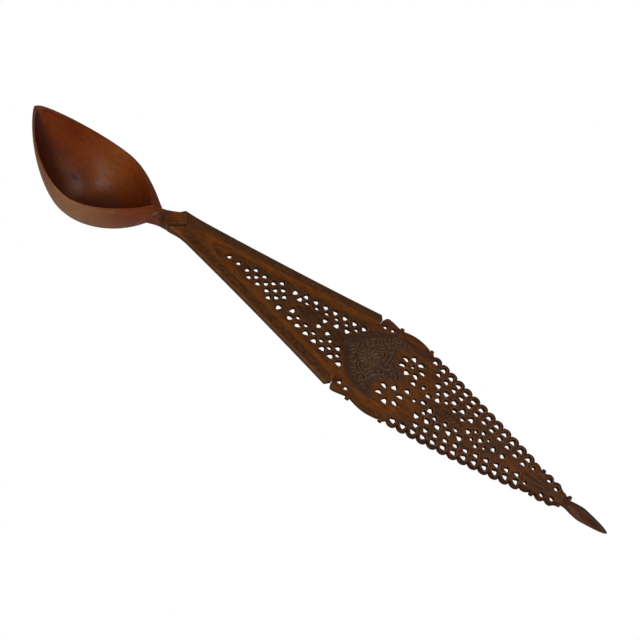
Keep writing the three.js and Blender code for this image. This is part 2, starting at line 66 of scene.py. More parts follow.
def shown(name, data):
    """A new object of the data, put into the scene."""
    thing = bpy.data.objects.new(name, data)
    bpy.context.scene.collection.objects.link(thing)
    return thing


camera = shown("photo_camera", bpy.data.cameras.new("photo_camera"))
camera.data.sensor_width = 36
camera.data.lens = camera_focal
camera.data.clip_start = 0.01


def aimed(position, target, roll=0.0):
    """A turn that looks from position to target, level with the handle's face and then rolled."""
    back = np.subtract(position, target)
    back = back / np.linalg.norm(back)
    right = np.cross((0, 0, 1), back)
    right = right / np.linalg.norm(right)
    up = np.cross(back, right)
    c, s = math.cos(roll), math.sin(roll)
    return np.stack([right * c + up * s, up * c - right * s, back], 1)


def put(thing, position, target, roll=0.0):
    """Stands a lamp or camera at a point of the handle's frame, looking at another."""
    matrix = np.eye(4)
    matrix[:3, :3] = rest_turn @ aimed(position, target, roll)
    matrix[:3, 3] = lay(position)
    thing.matrix_world = Matrix(matrix.tolist())


put(camera, camera_place, camera_aim, camera_roll)
bpy.context.scene.camera = camera
bpy.context.scene.view_settings.view_transform = "Standard"


def lamp(name, position, target, size, watts):
    """A square soft lamp, with its side in metres."""
    light = shown(name, bpy.data.lights.new(name, "AREA"))
    light.data.size = size
    light.data.energy = watts
    put(light, position, target)


lamp("key_lamp", (-60, -420, 660), (60, 0, 0), 0.4, 2.0)
lamp("far_lamp", (450, 350, 650), (40, 0, 0), 0.35, 1.5)
lamp("near_lamp", (150, -700, 260), (40, 0, 0), 0.5, 1.7)

table_white = (1.0, 1.0, 1.0, 1)
table_shade = (0.8, 0.8, 0.8, 1)
table_reach = 3.0
room_light, seen_light = 0.22, 1.0


def wired(tree, kind, inputs, **settings):
    """The tree's node of that name, or else a new one of that kind, with its settings made and each
    input set to a value or joined to another node's output."""
    made = tree.nodes.get(kind) or tree.nodes.new(kind)
    for setting, value in settings.items():
        setattr(made, setting, value)
    for socket, value in inputs.items():
        if isinstance(value, bpy.types.NodeSocket):
            tree.links.new(value, made.inputs[socket])
        else:
            made.inputs[socket].default_value = value
    return made


world = bpy.data.worlds.new("pale_room")
bpy.context.scene.world = world
world.use_nodes = True
room = world.node_tree
seen = wired(room, "ShaderNodeLightPath", {}).outputs["Is Camera Ray"]
brightness = wired(room, "ShaderNodeMapRange", {"Value": seen, "To Min": room_light, "To Max": seen_light})
wired(room, "Background", {"Color": (1, 1, 1, 1), "Strength": brightness.outputs[0]})

table_mesh = bpy.data.meshes.new("table")
corners = [(table_reach * a, table_reach * b, 0) for a, b in ((-1, -1), (1, -1), (1, 1), (-1, 1))]
table_mesh.from_pydata(corners, [], [(0, 1, 2, 3)])
table = shown("table", table_mesh)
table_material = bpy.data.materials.new("white_table")
table_material.use_nodes = True
table_tree = table_material.node_tree
surface = wired(table_tree, "Principled BSDF", {"Base Color": table_shade, "Roughness": 0.9})
glow = wired(table_tree, "ShaderNodeEmission", {"Color": table_white})
rays = wired(table_tree, "ShaderNodeLightPath", {})
shares = {0: rays.outputs["Is Camera Ray"], 1: surface.outputs[0], 2: glow.outputs[0]}
mix = wired(table_tree, "ShaderNodeMixShader", shares)
wired(table_tree, "Material Output", {"Surface": mix.outputs[0]})
table_mesh.materials.append(table_material)

# Bowl
# One block of fruit wood, hollowed to a thin deep boat with a blunt point at its tip. The knife
# left the walls about 2 mm thick, and oil and use have turned the wood red-brown.
bowl_back = 1.0
bowl_tip = bowl_back - 96.8
bowl_half_width = 29.7
bowl_widest = bowl_back - 46
bowl_depth = 29.6
bowl_deepest = bowl_back - 49.7
bowl_wall = 1.8
bowl_tip_wall = 2.6
bowl_back_wall = 7.0
rim_dip = -10.2
rim_dip_x = bowl_back - 42.7
rim_rise_tip = 15.9
rim_rise_back = 8.6
rim_round = 0.55
keel_runout = 3.6
rim_thinning = 0.8
tip_drop, tip_reach = 0.8, 2.5
thinning_depth = 3.0
section_power = 2.08
rim_rows = 6
sharp_angle = math.radians(40)
# Pairs are powers towards the tip and the back.
plan_powers, plan_blunts = (1.8, 1.6), (0.8, 1.0)
keel_powers, keel_blunt = (1.0, 3.1), 0.88
plan_softness, keel_softness = 0.3, 0.25


def step(value, start, end):
    """A smooth rise from 0 at start to 1 at end: 3t^2 - 2t^3."""
    t = np.clip((value - start) / (end - start), 0, 1)
    return t * t * (3 - 2 * t)


def bump(value, centre, width):
    """A smooth hill of height 1: exp(-((value - centre) / width)^2)."""
    return np.exp(-(((value - centre) / width) ** 2))


def rim_height(x):
    """A parabola on each side of the rim's lowest place, less the tip's wear: drop (1 - d / reach)^2."""
    end = np.where(x < rim_dip_x, bowl_tip, bowl_back)
    rise = np.where(x < rim_dip_x, rim_rise_tip, rim_rise_back)
    wear = tip_drop * np.clip(1 - (x - bowl_tip) / tip_reach, 0, 1) ** 2
    return rim_dip + rise * ((x - rim_dip_x) / (end - rim_dip_x)) ** 2 - wear


def soft_power(u, power, softness):
    """u^p with its start rounded off: (u^2 + e^2)^(p/2), brought back to 0 at u = 0 and 1 at u = 1."""
    start, end = softness**power, (1 + softness**2) ** (power / 2)
    return ((u * u + softness**2) ** (power / 2) - start) / (end - start)


def bowl_form(x, inner):
    """Half width and depth at x: (1 - u^p)^q, where u runs from the widest or deepest place to an end."""
    tip = bowl_tip + bowl_tip_wall * inner
    back = bowl_back - bowl_back_wall * inner
    plan_end, plan_power, blunt = [
        np.where(x < bowl_widest, a, b) for a, b in ((tip, back), plan_powers, plan_blunts)
    ]
    keel_end, keel_power = [
        np.where(x < bowl_deepest, a, b) for a, b in ((tip, back + keel_runout), keel_powers)
    ]
    across = 1 - soft_power((x - bowl_widest) / (plan_end - bowl_widest), plan_power, plan_softness)
    down = 1 - soft_power((x - bowl_deepest) / (keel_end - bowl_deepest), keel_power, keel_softness)
    half = (bowl_half_width - bowl_wall * inner) * np.clip(across, 0, 1) ** blunt
    depth = (bowl_depth - bowl_wall * inner) * np.clip(down, 0, 1) ** keel_blunt
    return half, depth


def rounded(value, power):
    """|value|^power with the value's own sign, for a superellipse's two coordinates."""
    return np.sign(value) * np.abs(value) ** power


def bowl_section(x, inner, rounding, count):
    """Superellipse from the near rim, round the keel, to the far rim, begun under the rim's rounding."""
    half, depth = bowl_form(x, inner)
    start = np.arcsin(np.clip(rounding / np.maximum(depth, 1e-6), 0, 1) ** (section_power / 2))
    angle = np.pi - start[:, None] - (np.pi - 2 * start[:, None]) * np.linspace(0, 1, count)
    across = rounded(np.cos(angle), 2 / section_power)
    down = np.abs(np.sin(angle)) ** (2 / section_power)
    z = rim_height(x)[:, None] - depth[:, None] * down
    return np.stack([np.broadcast_to(x[:, None], z.shape), half[:, None] * across, z], -1)


def rim_arc(start, end, rounding, count):
    """Half an ellipse over the wall's thickness, from one skin to the other."""
    middle, half = (start + end) / 2, (start - end) / 2
    t = np.pi * np.linspace(0, 1, count + 2)[1:-1]
    arc = middle[:, None] + half[:, None] * np.cos(t)[None, :, None]
    arc[..., 2] += rounding[:, None] * np.sin(t)
    return arc


def bowl_rings(stations, count):
    """Closed rings, one for each station: outer skin, far rim, inner skin, near rim."""
    swing = (1 - np.cos(np.pi * np.linspace(0, 1, stations))) / 2
    x_outer = bowl_tip + 0.1 + (bowl_back - bowl_tip - 0.1) * swing
    tip, back = bowl_tip + bowl_tip_wall, bowl_back - bowl_back_wall
    x_inner = tip + (back - tip) * swing
    half = bowl_form(x_inner, True)[0]
    thinned = rim_thinning * step(half, 0.5, 6)
    wall = bowl_form(x_outer, False)[0] - half - thinned
    rounding = np.minimum(rim_round, 0.4 * np.abs(wall))
    outer = bowl_section(x_outer, False, rounding, count)
    inner = bowl_section(x_inner, True, rounding, count)
    below = rim_height(x_inner)[:, None] - inner[..., 2]
    inner[..., 1] += np.sign(inner[..., 1]) * thinned[:, None] * bump(below, 0, thinning_depth)
    far = rim_arc(outer[:, -1], inner[:, -1], rounding, rim_rows)
    near = rim_arc(inner[:, 0], outer[:, 0], rounding, rim_rows)
    return np.concatenate([outer, far, inner[:, ::-1], near], 1)


def ring_faces(points):
    """Quads between neighbouring closed rings of points, and one face over each end."""
    rings, count = points.shape[:2]
    i, j = np.meshgrid(np.arange(rings - 1), np.arange(count), indexing="ij")
    a, b = i * count + j, i * count + (j + 1) % count
    quads = np.stack([a, b, b + count, a + count], -1).reshape(-1, 4)
    return quads.tolist() + [list(range(count))[::-1], list(range((rings - 1) * count, rings * count))]


def piece(name, points, faces, wood, marks=None, node=None):
    """Makes a closed mesh of points in the handle's frame, kept above the table, with its faces
    outwards. marks are values from 0 to 1 for each point, which the wood reads. node is the solid it
    stands for."""
    mesh = bpy.data.meshes.new(name)
    placed = lay(points).reshape(-1, 3)
    placed[:, 2] = np.maximum(placed[:, 2], 0)
    mesh.from_pydata(placed.tolist(), [], faces)
    mesh.validate()
    mesh.calc_loop_triangles()
    tri = np.zeros(len(mesh.loop_triangles) * 3, np.int32)
    mesh.loop_triangles.foreach_get("vertices", tri)
    corner = np.zeros(len(mesh.vertices) * 3)
    mesh.vertices.foreach_get("co", corner)
    a, b, c = np.moveaxis(corner.reshape(-1, 3)[tri.reshape(-1, 3)], 1, 0)
    if (np.cross(a, b) * c).sum() < 0:
        mesh.flip_normals()
    for mark, values in (marks or {}).items():
        mesh.attributes.new(mark, "FLOAT", "POINT").data.foreach_set(
            "value", np.clip(values, 0, 1).astype(np.float32).ravel()
        )
    mesh.polygons.foreach_set("use_smooth", np.ones(len(mesh.polygons), bool))
    mesh.set_sharp_from_angle(angle=sharp_angle)
    mesh.materials.append(wood.material)
    thing = shown(name, mesh)
    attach(thing, "root")
    if node:
        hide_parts(node)


def srgb(*shade):
    """A colour written as 0 to 255 sRGB, as the linear values that a shader takes."""
    c = np.array(shade) / 255
    return tuple(np.where(c <= 0.04045, c / 12.92, ((c + 0.055) / 1.055) ** 2.4)) + (1,)


red_brown = (104, 50, 30)


class Wood:
    """Oiled, hand-cut fruit wood. Long grain and pores run along the spoon, with cloudy patches of the
    second colour. The carve mark darkens what is cut in, and in a few places it paints shade; the
    stipple mark sets dark pricks; the patina mark brings the dark tone of old oil, and in the bowl,
    the stem's hollow and the finial it paints shade; the pale mark brings the tone of wear, and painted
    highlights and sheen; the warm mark the orange of fresh wood, and in the bowl and the finial
    painted light; and the ruddy mark the red-brown of the bowl."""

    def __init__(self, name, plain, cloud, patina, warm, pale, rough, coat, grain=1.0):
        self.material = bpy.data.materials.new(name)
        self.material.use_nodes = True
        self.tree = self.material.node_tree
        place = wired(self.tree, "ShaderNodeTexCoord", {}).outputs["Object"]
        fibre = self.noise(place, (60, 900, 900), 4)
        pore = self.noise(place, (130, 2600, 2600), 2)
        patch = self.noise(place, (60, 90, 90), 3)
        ground = self.mixed(self.ramp(patch, 0.42, 0.66), srgb(*plain), srgb(*cloud))
        warmed = self.mixed(self.mark("warm"), ground, srgb(*warm))
        reddened = self.mixed(self.mark("ruddy"), warmed, srgb(*red_brown))
        aged = self.mixed(self.mark("patina"), reddened, srgb(*patina))
        rubbed_and_lit = self.mixed(self.mark("pale"), aged, srgb(*pale))
        mottle = self.noise(place, (240, 520, 520), 3)
        dull, bright = self.shade(rubbed_and_lit, 1 - 0.2 * grain), self.shade(rubbed_and_lit, 1 + 0.14 * grain)
        mottled = self.mixed(self.ramp(mottle, 0.36, 0.64), dull, bright)
        lined = self.mixed(self.ramp(fibre, 0.35, 0.7), mottled, self.shade(mottled, 1 - 0.28 * grain))
        pored = self.mixed(self.ramp(pore, 0.62, 0.74), lined, self.shade(lined, 0.7))
        dots = wired(self.tree, "ShaderNodeTexVoronoi", {"Vector": place, "Scale": 540})
        pricked = {0: self.mark("stipple"), 1: self.ramp(dots.outputs["Distance"], 0.5, 0.25)}
        stipple = wired(self.tree, "ShaderNodeMath", pricked, operation="MULTIPLY").outputs[0]
        dotted = self.mixed(stipple, pored, self.shade(pored, 0.45))
        cut = self.mixed(self.mark("carve"), dotted, self.shade(dotted, 0.35))
        polish = {"Value": patch, "To Min": rough - 0.08, "To Max": rough + 0.12}
        raised = {"Height": fibre, "Strength": 0.35, "Distance": 0.0002}
        wired(self.tree, "Principled BSDF", {
            "Base Color": cut,
            "Roughness": wired(self.tree, "ShaderNodeMapRange", polish).outputs[0],
            "Normal": wired(self.tree, "ShaderNodeBump", raised).outputs[0],
            "Coat Weight": coat,
            "Coat Roughness": 0.3,
            "Specular IOR Level": 0.12,
        })

    def noise(self, place, spacing, detail):
        """Noise over Object coordinates, with spacing as waves per metre along each axis."""
        spaced = wired(self.tree, "ShaderNodeMapping", {"Vector": place, "Scale": spacing}).outputs[0]
        waves = {"Vector": spaced, "Scale": 1.0, "Detail": detail}
        return wired(self.tree, "ShaderNodeTexNoise", waves).outputs["Fac"]

    def ramp(self, value, low, high):
        """A straight rise from 0 where value is low to 1 where it is high."""
        span = {"Value": value, "From Min": low, "From Max": high}
        return wired(self.tree, "ShaderNodeMapRange", span).outputs[0]

    def mark(self, name):
        """The value that piece() puts on the points under this name, or 0."""
        return wired(self.tree, "ShaderNodeAttribute", {}, attribute_name=name).outputs["Fac"]

    def mixed(self, share, first, second):
        """The first colour, with the second laid over it in the given share."""
        colours = {0: share, 6: first, 7: second}
        return wired(self.tree, "ShaderNodeMix", colours, data_type="RGBA").outputs[2]

    def shade(self, colour, share):
        """The same colour at a share of its value, darker below 1 and brighter above."""
        return wired(self.tree, "ShaderNodeHueSaturation", {"Color": colour, "Value": share}).outputs[0]


# The third colour is the dark of the knot and of the painted shade inside; the fourth is the painted pool
# of light; the fifth is the pale of the tip and of the painted sheen and highlights.
bowl_wood = Wood(
    "bowl_wood", (122, 52, 12), (110, 43, 10), (68, 24, 9), (152, 78, 32), (142, 96, 60),
    rough=0.36, coat=0.12, grain=0.5,
)
bowl_stations, bowl_count = 190, 84
rings = bowl_rings(bowl_stations, bowl_count)
x, y = rings[..., 0], rings[..., 1]
across = y / np.maximum(bowl_form(x, True)[0], 1)
inside = np.zeros(rings.shape[:2])
inside[:, bowl_count + rim_rows : 2 * bowl_count + rim_rows] = 1
rim = np.zeros(rings.shape[:2])
rim[:, bowl_count : bowl_count + rim_rows] = 1
# Painted shade: the near side of the inner wall is darkened, reaching further across towards the back.
shade = inside * step(0.35 + 0.01 * (x + 60) - across, -0.45, 0.45)
# Painted light: a warm pool of light on the far inner wall.
glow = inside * bump(x, -46, 18) * bump(across, 0.95, 0.45)
# Painted sheen: paler patches low in the bowl, which also thin the painted shade.
sheens = ((-70, 0.15), (-65, 0.4), (-58, 0), (-51, 0.35))
sheen = inside * sum(bump(x, place, 5.5) * bump(across, side, 0.22) for place, side in sheens)
knot_x, knot_y = -61.7, 6.3
u, v = x - knot_x, y - knot_y
along, beside = 0.86 * u + 0.5 * v, 0.86 * v - 0.5 * u
knot = inside * step(bump(along, 0, 1.9) * bump(beside, 0, 0.8), 0.12, 0.35)
# Painted highlight: a pale spot high on the far inner wall.
bright = inside * bump(x, -50, 7) * bump(across, 0.8, 0.3)
tip = (1 - inside) * (1 - step(x, bowl_tip + 6, bowl_tip + 24))
tip_top = rim * (1 - step(x, bowl_tip + 1, bowl_tip + 5))
# Painted sheen: the outer wall is paler, most of all round its middle, fading out towards the back.
outer_sheen = (1 - inside) * (0.1 + 0.85 * bump(x, -42, 24)) * (1 - step(x, -24, -4))
rubbed_and_lit = outer_sheen * (1 - 0.6 * rim) + 0.12 * sheen + 0.3 * bright + 0.25 * tip + 0.5 * tip_top
piece("bowl_shell", rings, ring_faces(rings), bowl_wood, {
    # The far rim is darkened as painted shade; the knot and the tip's dark grey are the wood's own colour.
    "carve": knot + 0.5 * rim * (1 - tip) + 0.5 * tip,
    "patina": np.maximum(shade * (1 - 0.35 * sheen), knot),
    "warm": 0.95 * glow,
    "pale": rubbed_and_lit,
}, "bowl")

# Handle frame
# One piece of fruit wood, forked into two flat rails that spread towards the panel. It is notched
# over the stem's arrow head and glued there. The rails' faces have a dark polished outer band
# between gouged lines, an orange inner strip, and a thin lip over the panel's edge.
corner_x = 12.0
arrow_length = 6.5
frame_thickness = 2.6
frame_half_at_neck = 7.9
frame_half_at_end = 34.5
frame_bow = 0.9
neck_flare, neck_flare_length = 0.9, 14.0
rail_length = 126.1
rail_end = corner_x + rail_length
rail_width = 8.5
rail_end_slope = 2.2
rail_end_drop = 3.2
lip_thickness = 1.2
lap_width = 2.5
band_width = 5.2
fit = 0.3
seam = 0.08
hole_corners = 22
nose_x = corner_x + 24
nose_length = 8.0
sway_width = 1.2
sway_start, sway_rise = corner_x + 122, 28.0
sway_end, sway_fall = corner_x + 206, 53.0


def swayed(points):
    """The handle stands over to the far side by a smooth rise and, along the tail, a smooth fall."""
    points = np.array(points, float)
    x = points[..., 0]
    rise = step(x, sway_start, sway_start + sway_rise)
    points[..., 1] += sway_width * rise * (1 - step(x, sway_end - sway_fall, sway_end))
    return points


def frame_edge(x):
    """Half width of the handle: a straight taper, less 4 bow s (1 - s), with a short flare at the neck."""
    s = (x - corner_x) / rail_length
    flare = neck_flare * np.clip(1 - (x - corner_x) / neck_flare_length, 0, 1) ** 2
    taper = frame_half_at_neck + (frame_half_at_end - frame_half_at_neck) * s
    return taper - 4 * frame_bow * s * (1 - s) + flare


def opening_edge(inset, end, count=40):
    """Far half of the opening between the rails: a pointed nose, then along the rail."""
    x = np.linspace(nose_x + nose_length, end, count)
    along = np.stack([x, frame_edge(x) - rail_width + inset], 1)
    return np.concatenate([[[nose_x - inset, 0]], along])


def mirrored(points):
    """The same points over the axis, in turned order, so that a loop goes on along them."""
    return (np.asarray(points) * (1, -1))[::-1]


def side_distance(points, loop):
    """Distance to the nearest side of a closed loop, and whether each point is inside it."""
    x, y = points.T
    nearest, inside = np.full(len(x), 1e9), np.zeros(len(x), bool)
    for (ax, ay), (bx, by) in zip(loop, np.roll(loop, -1, 0)):
        dx, dy = bx - ax, by - ay
        t = np.clip(((x - ax) * dx + (y - ay) * dy) / (dx * dx + dy * dy + 1e-12), 0, 1)
        nearest = np.minimum(nearest, (x - ax - t * dx) ** 2 + (y - ay - t * dy) ** 2)
        if ay != by:
            inside ^= ((ay > y) != (by > y)) & (x < ax + (y - ay) * dx / dy)
    return np.sqrt(nearest), inside


def hole_wobble(hole, u, v):
    """The knife's unevenness: a hole's radius times 1 + 0.14 cos(3 angle + a phase of its own)."""
    x, y, _, a, b, _ = hole
    return 1 + 0.14 * np.cos(3 * np.arctan2(v / b, u / a) + 1.7 * x + 2.3 * abs(y))


def hole_edge(hole, grow=0.0):
    """Points round a hole, moved out by grow: a superellipse whose lower half has the power foot."""
    x, y, turn, a, b, foot = hole
    t = 2 * np.pi * np.arange(hole_corners) / hole_corners
    power = 2 / np.where(np.sin(t) < 0, foot, 2)
    u, v = a * rounded(np.cos(t), power), b * rounded(np.sin(t), power)
    scale = hole_wobble(hole, u, v) + grow / np.hypot(u, v)
    u, v = u * scale, v * scale
    c, s = math.cos(turn), math.sin(turn)
    return np.stack([x + u * c - v * s, y + u * s + v * c], 1)


def hole_gap(points, holes):
    """Distance to the nearest hole: |p| (1 - 1/k), where k is 1 on the hole's edge."""
    gap = np.full(len(points), 9.0)
    for hole in holes:
        x, y, turn, a, b, foot = hole
        near = np.flatnonzero(np.abs(points - (x, y)).max(1) < 8)
        c, s = math.cos(turn), math.sin(turn)
        px, py = points[near, 0] - x, points[near, 1] - y
        u, v = px * c + py * s, py * c - px * s
        n = np.where(v < 0, foot, 2)
        k = (np.abs(u / a) ** n + np.abs(v / b) ** n) ** (1 / n) / hole_wobble(hole, u, v)
        gap[near] = np.minimum(gap[near], np.hypot(u, v) * (1 - 1 / np.maximum(k, 1e-6)))
    return gap


class Board:
    """A flat board cut to an outline and pierced, as triangles with points on its edges, at set
    offsets inside them, and elsewhere on a grid of near equal triangles. gap and side are each
    point's distances to the nearest hole and to the outline."""

    def __init__(self, outline, offsets, spacing, holes=()):
        low, high = outline.min(0), outline.max(0)
        rows = np.arange(low[1], high[1], spacing * 0.87)
        gx, gy = np.meshgrid(np.arange(low[0], high[0], spacing), rows)
        gx = gx + (np.arange(len(rows)) % 2)[:, None] * spacing / 2
        free = [np.stack([gx.ravel(), gy.ravel()], 1)]
        least = [np.full(gx.size, offsets[-1] + 0.4 * spacing)]
        after = np.roll(outline, -1, 0)
        along = after - np.roll(outline, 1, 0)
        inwards = np.stack([-along[:, 1], along[:, 0]], 1) / np.linalg.norm(along, axis=1)[:, None]
        area = (outline[:, 0] * after[:, 1] - outline[:, 1] * after[:, 0]).sum()
        for offset in offsets:
            rings = [outline + inwards * offset * np.sign(area)] + [hole_edge(h, offset) for h in holes]
            free.extend(rings)
            least.extend(np.full(len(ring), offset * 0.93) for ring in rings)
        free, least = np.concatenate(free), np.concatenate(least)
        side, inside = side_distance(free, outline)
        free = free[inside & (np.minimum(side, hole_gap(free, holes)) > least)]
        edges, start = [], 0
        loops = [outline] + [hole_edge(h) for h in holes]
        for loop in loops:
            run = start + np.arange(len(loop))
            edges.append(np.stack([run, np.roll(run, -1)], 1))
            start += len(loop)
        found = delaunay_2d_cdt(
            np.concatenate(loops + [free]).tolist(), np.concatenate(edges).tolist(), [], 0, 1e-4, False
        )
        points, triangles = np.array(found[0]), np.array(found[2])
        side = side_distance(points, outline)[0]
        middles = points[triangles].mean(1)
        inside = np.ones(len(triangles), bool)
        cut = np.flatnonzero((side[triangles] < 0.001).all(1))
        inside[cut] = side_distance(middles[cut], outline)[1]
        triangles = triangles[inside & (hole_gap(middles, holes) > 0)]
        used, triangles = np.unique(triangles, return_inverse=True)
        self.points, self.triangles = points[used], triangles.reshape(-1, 3)
        self.side = side[used]
        self.gap = np.maximum(hole_gap(self.points, holes), 0)

    def solid(self, top, bottom):
        """Points of two faces at the given heights, set over by the handle's sway, with triangles above,
        the same ones turned over below, and a wall along every edge used once."""
        plan, count, t = swayed(self.points), len(self.points), self.triangles
        points = [np.concatenate([plan, np.broadcast_to(z, count)[:, None]], 1) for z in (top, bottom)]
        pairs = np.concatenate([t[:, [0, 1]], t[:, [1, 2]], t[:, [2, 0]]])
        _, first, uses = np.unique(np.sort(pairs, 1), axis=0, return_index=True, return_counts=True)
        a, b = pairs[first[uses == 1]].T
        walls = np.stack([b, a, a + count, b + count], 1)
        return np.concatenate(points), t.tolist() + (t[:, ::-1] + count).tolist() + walls.tolist()


def both(values, below=0.0):
    """A mark on a board's upper face, and its value or values on the back."""
    return np.concatenate([values, np.broadcast_to(below, len(values))])


def edge_rounding(distance, radius):
    """How far a cut edge is worn down: a quarter circle over the first radius of distance."""
    t = 1 - np.clip(distance / radius, 0, 1)
    return radius * (1 - np.sqrt(1 - np.minimum(t, 0.98) ** 2))


outer_x = corner_x + rail_length * np.linspace(0, 1, 90)
outer = np.stack([outer_x, frame_edge(outer_x)], 1)
outer[0, 0] += seam
end_x = rail_end + rail_end_slope
far_side = np.concatenate([outer, [[end_x, frame_edge(rail_end) - rail_end_drop]]])
opening = opening_edge(0, end_x)
notch = [[corner_x + arrow_length + seam, 0]]
frame_outline = np.concatenate(
    [notch, mirrored(far_side)[::-1], mirrored(opening[1:]), opening, far_side[::-1]]
)
rails = Board(frame_outline, offsets=(0.2, 0.5, 0.9, 1.4, 2.0, 2.7, 2.85), spacing=0.7)
x, y = rails.points.T
inward = frame_edge(x) - np.abs(y)
band = np.minimum(band_width, 0.45 * frame_edge(x))
far = y > 0
lines = 0.9 * bump(inward, 1.0, 0.22) + 0.5 * bump(inward, band, 0.22) + 0.35 * bump(inward, 2.0, 0.18)
lines += far * (0.4 * bump(inward, 2.9, 0.18) + 0.4 * bump(inward, 3.7, 0.18))
under_lip = (x > nose_x - 3) & (inward > rail_width - lap_width - fit)
rail_bottom = np.where(under_lip, -lip_thickness, -frame_thickness)
dark_band = far * (1 - step(inward, 1.6, 3.0)) + 0.35 * far * bump(inward, band_width, 1.2)
# Painted highlight: a paler line along the near rail's rounded outer edge.
near_edge_highlight = ~far * bump(inward, 0.45, 0.28)
stipple = step(inward, 1.4, 2.0) * (1 - step(inward, band + 0.4, band + 1.6)) * np.where(far, 0.5, 1.0)
lip = step(inward, rail_width - 2.2, rail_width - 0.6)


# A point on each leg of the arrow, and the way square to the leg.
near_leg, far_leg = (13.5, -8.5, 0.756, -0.655), (13.2, 5.3, 0.787, 0.617)


def joint_carving(x, y):
    """Dark and light lines carved beside the arrow's near and far legs, and the orange between them."""
    near, far = [(x - at_x) * a + (y - at_y) * b for at_x, at_y, a, b in (near_leg, far_leg)]
    by_near, by_far = (far < 2.6) * (near > -6) * (y < -1), (near < 0.3) * (y > -2.6) * (y < 6.6)
    dark = by_near * sum(bump(near, q, 0.33) for q in (-0.9, -2.4, -4.0))
    dark += by_far * sum(bump(far, q, 0.28) for q in (0.75, 2.3))
    light = by_near * sum(bump(near, q, 0.4) for q in (0, -1.6, -3.2))
    light += by_far * sum(bump(far, q, 0.35) for q in (0, 1.5))
    orange = step(y, -2.6, -0.8) * (1 - step(far, -1.6, -0.5)) * step(x, 6, 9)
    return np.clip(dark, 0, 1), np.clip(light, 0, 1), orange


joint_dark, joint_light, _ = joint_carving(x, y)
inner_edge = (x > nose_x - 2) * (inward > rail_width - 1.5)
rail_top = -0.14 * (lines + joint_dark) - edge_rounding(rails.side, np.where(inner_edge, 0.12, 0.5))
fresh_spots = ((18.5, 4.2, -8, 2.2), (38, 6.5, 1.5, 2.6), (134, 4, 22.5, 2.5), (137, 5, -23, 3))
fresh = sum(bump(x, place, long) * bump(y, side, wide) for place, long, side, wide in fresh_spots)
rail_wood = Wood(
    "rail_wood", (94, 51, 14), (86, 46, 15), (76, 55, 32), (122, 62, 4), (120, 88, 58),
    rough=0.4, coat=0.06,
)
piece("fork_rails", *rails.solid(rail_top, rail_bottom), rail_wood, {
    "carve": both(0.5 * lines + 0.7 * joint_dark),
    "patina": both(0.8 * dark_band * step(x, 14, 24), 0.3),
    "stipple": both(stipple * step(x, 20, 34)),
    "warm": both(0.7 * lip * step(x, 24, 40) + 0.9 * fresh),
    "pale": both(0.7 * near_edge_highlight + 0.5 * joint_light),
}, "handle_frame")

# Stem
# The bowl's own wood runs back as a slim neck and flares into an arrow head, which fills the
# handle's notch. A thin wedge of it goes on under the handle and is glued there.
neck_half_width = 3.7
neck_top, neck_bottom = -3.9, -14.4
neck_ridge = 0.7
neck_flare_power, neck_top_power, neck_bottom_power = 1.75, 1.3, 0.8
stem_root = 9.0
hollow_place, hollow_radius, hollow_depth = (4, -4.3, -3.8), 2.2, 0.7
head_shift = 0.25
corner_half_width = 8.9
corner_bottom = -6.4
wedge_length = 22.0
wedge_inset = 1.4
wedge_start_inset, wedge_narrowing = 0.15, 9
wedge_end = 0.8


def stem_top(x):
    """The neck's upper side climbs to the handle's face as neck_top (1 - x / corner_x)^power."""
    return neck_top * np.maximum(1 - x / corner_x, 0) ** neck_top_power


def squared_rings(x, half, top, bottom, count, ridge=0.0):
    """Rounded boxes along x: cos and sin to the power 0.5, with a ridge along the top."""
    angle = np.linspace(0, 2 * np.pi, count, endpoint=False)
    across, upward = rounded(np.cos(angle), 0.5), rounded(np.sin(angle), 0.5)
    y = half[:, None] * across
    z = (top + bottom)[:, None] / 2 + (top - bottom)[:, None] / 2 * upward
    z += np.reshape(ridge, (-1, 1)) * np.clip(upward, 0, 1) * (1 - np.abs(across))
    return np.stack([np.broadcast_to(x[:, None], y.shape), y, z], -1)


x = np.linspace(bowl_back - stem_root, corner_x, 60)
s = x / corner_x
rise = 1 - s
half = neck_half_width + (corner_half_width - neck_half_width) * np.clip(s, 0, 1) ** neck_flare_power
top = stem_top(x)
bottom = corner_bottom + (neck_bottom - corner_bottom) * rise**neck_bottom_power
stem = squared_rings(x, half, top, bottom, 96, neck_ridge * np.clip(rise, 0, 1))
stem[..., 1] += head_shift * step(stem[..., 0], 8, 12)
x, y, z = np.moveaxis(stem, -1, 0)
upper = z > (top + bottom)[:, None] / 2
hollow = bump(stem, hollow_place, hollow_radius).prod(-1)
root = bump(x + 0.2 - 0.35 * (y + 1) - 0.35 * np.minimum(z + 4, 0), 0, 0.8) * (z > -9) * (y < 2.5)
joint_dark, joint_light, joint_orange = joint_carving(x, y)
stem[..., 1] += hollow_depth * hollow
stem[..., 2] -= hollow_depth * hollow + 0.2 * joint_dark * upper - 0.25 * root
piece("bowl_stem", stem, ring_faces(stem), rail_wood, {
    # Painted shade darkens the scooped hollow.
    "carve": 0.75 * hollow + 0.7 * joint_dark * upper,
    # A painted highlight lightens the fillet at the root.
    "pale": 0.5 * joint_light * upper + 0.8 * root,
    "patina": 0.8 * hollow,
    "warm": 0.85 * joint_orange * upper,
    "ruddy": 0.9 * (1 - step(x + 0.3 * y, 0, 6)),
})

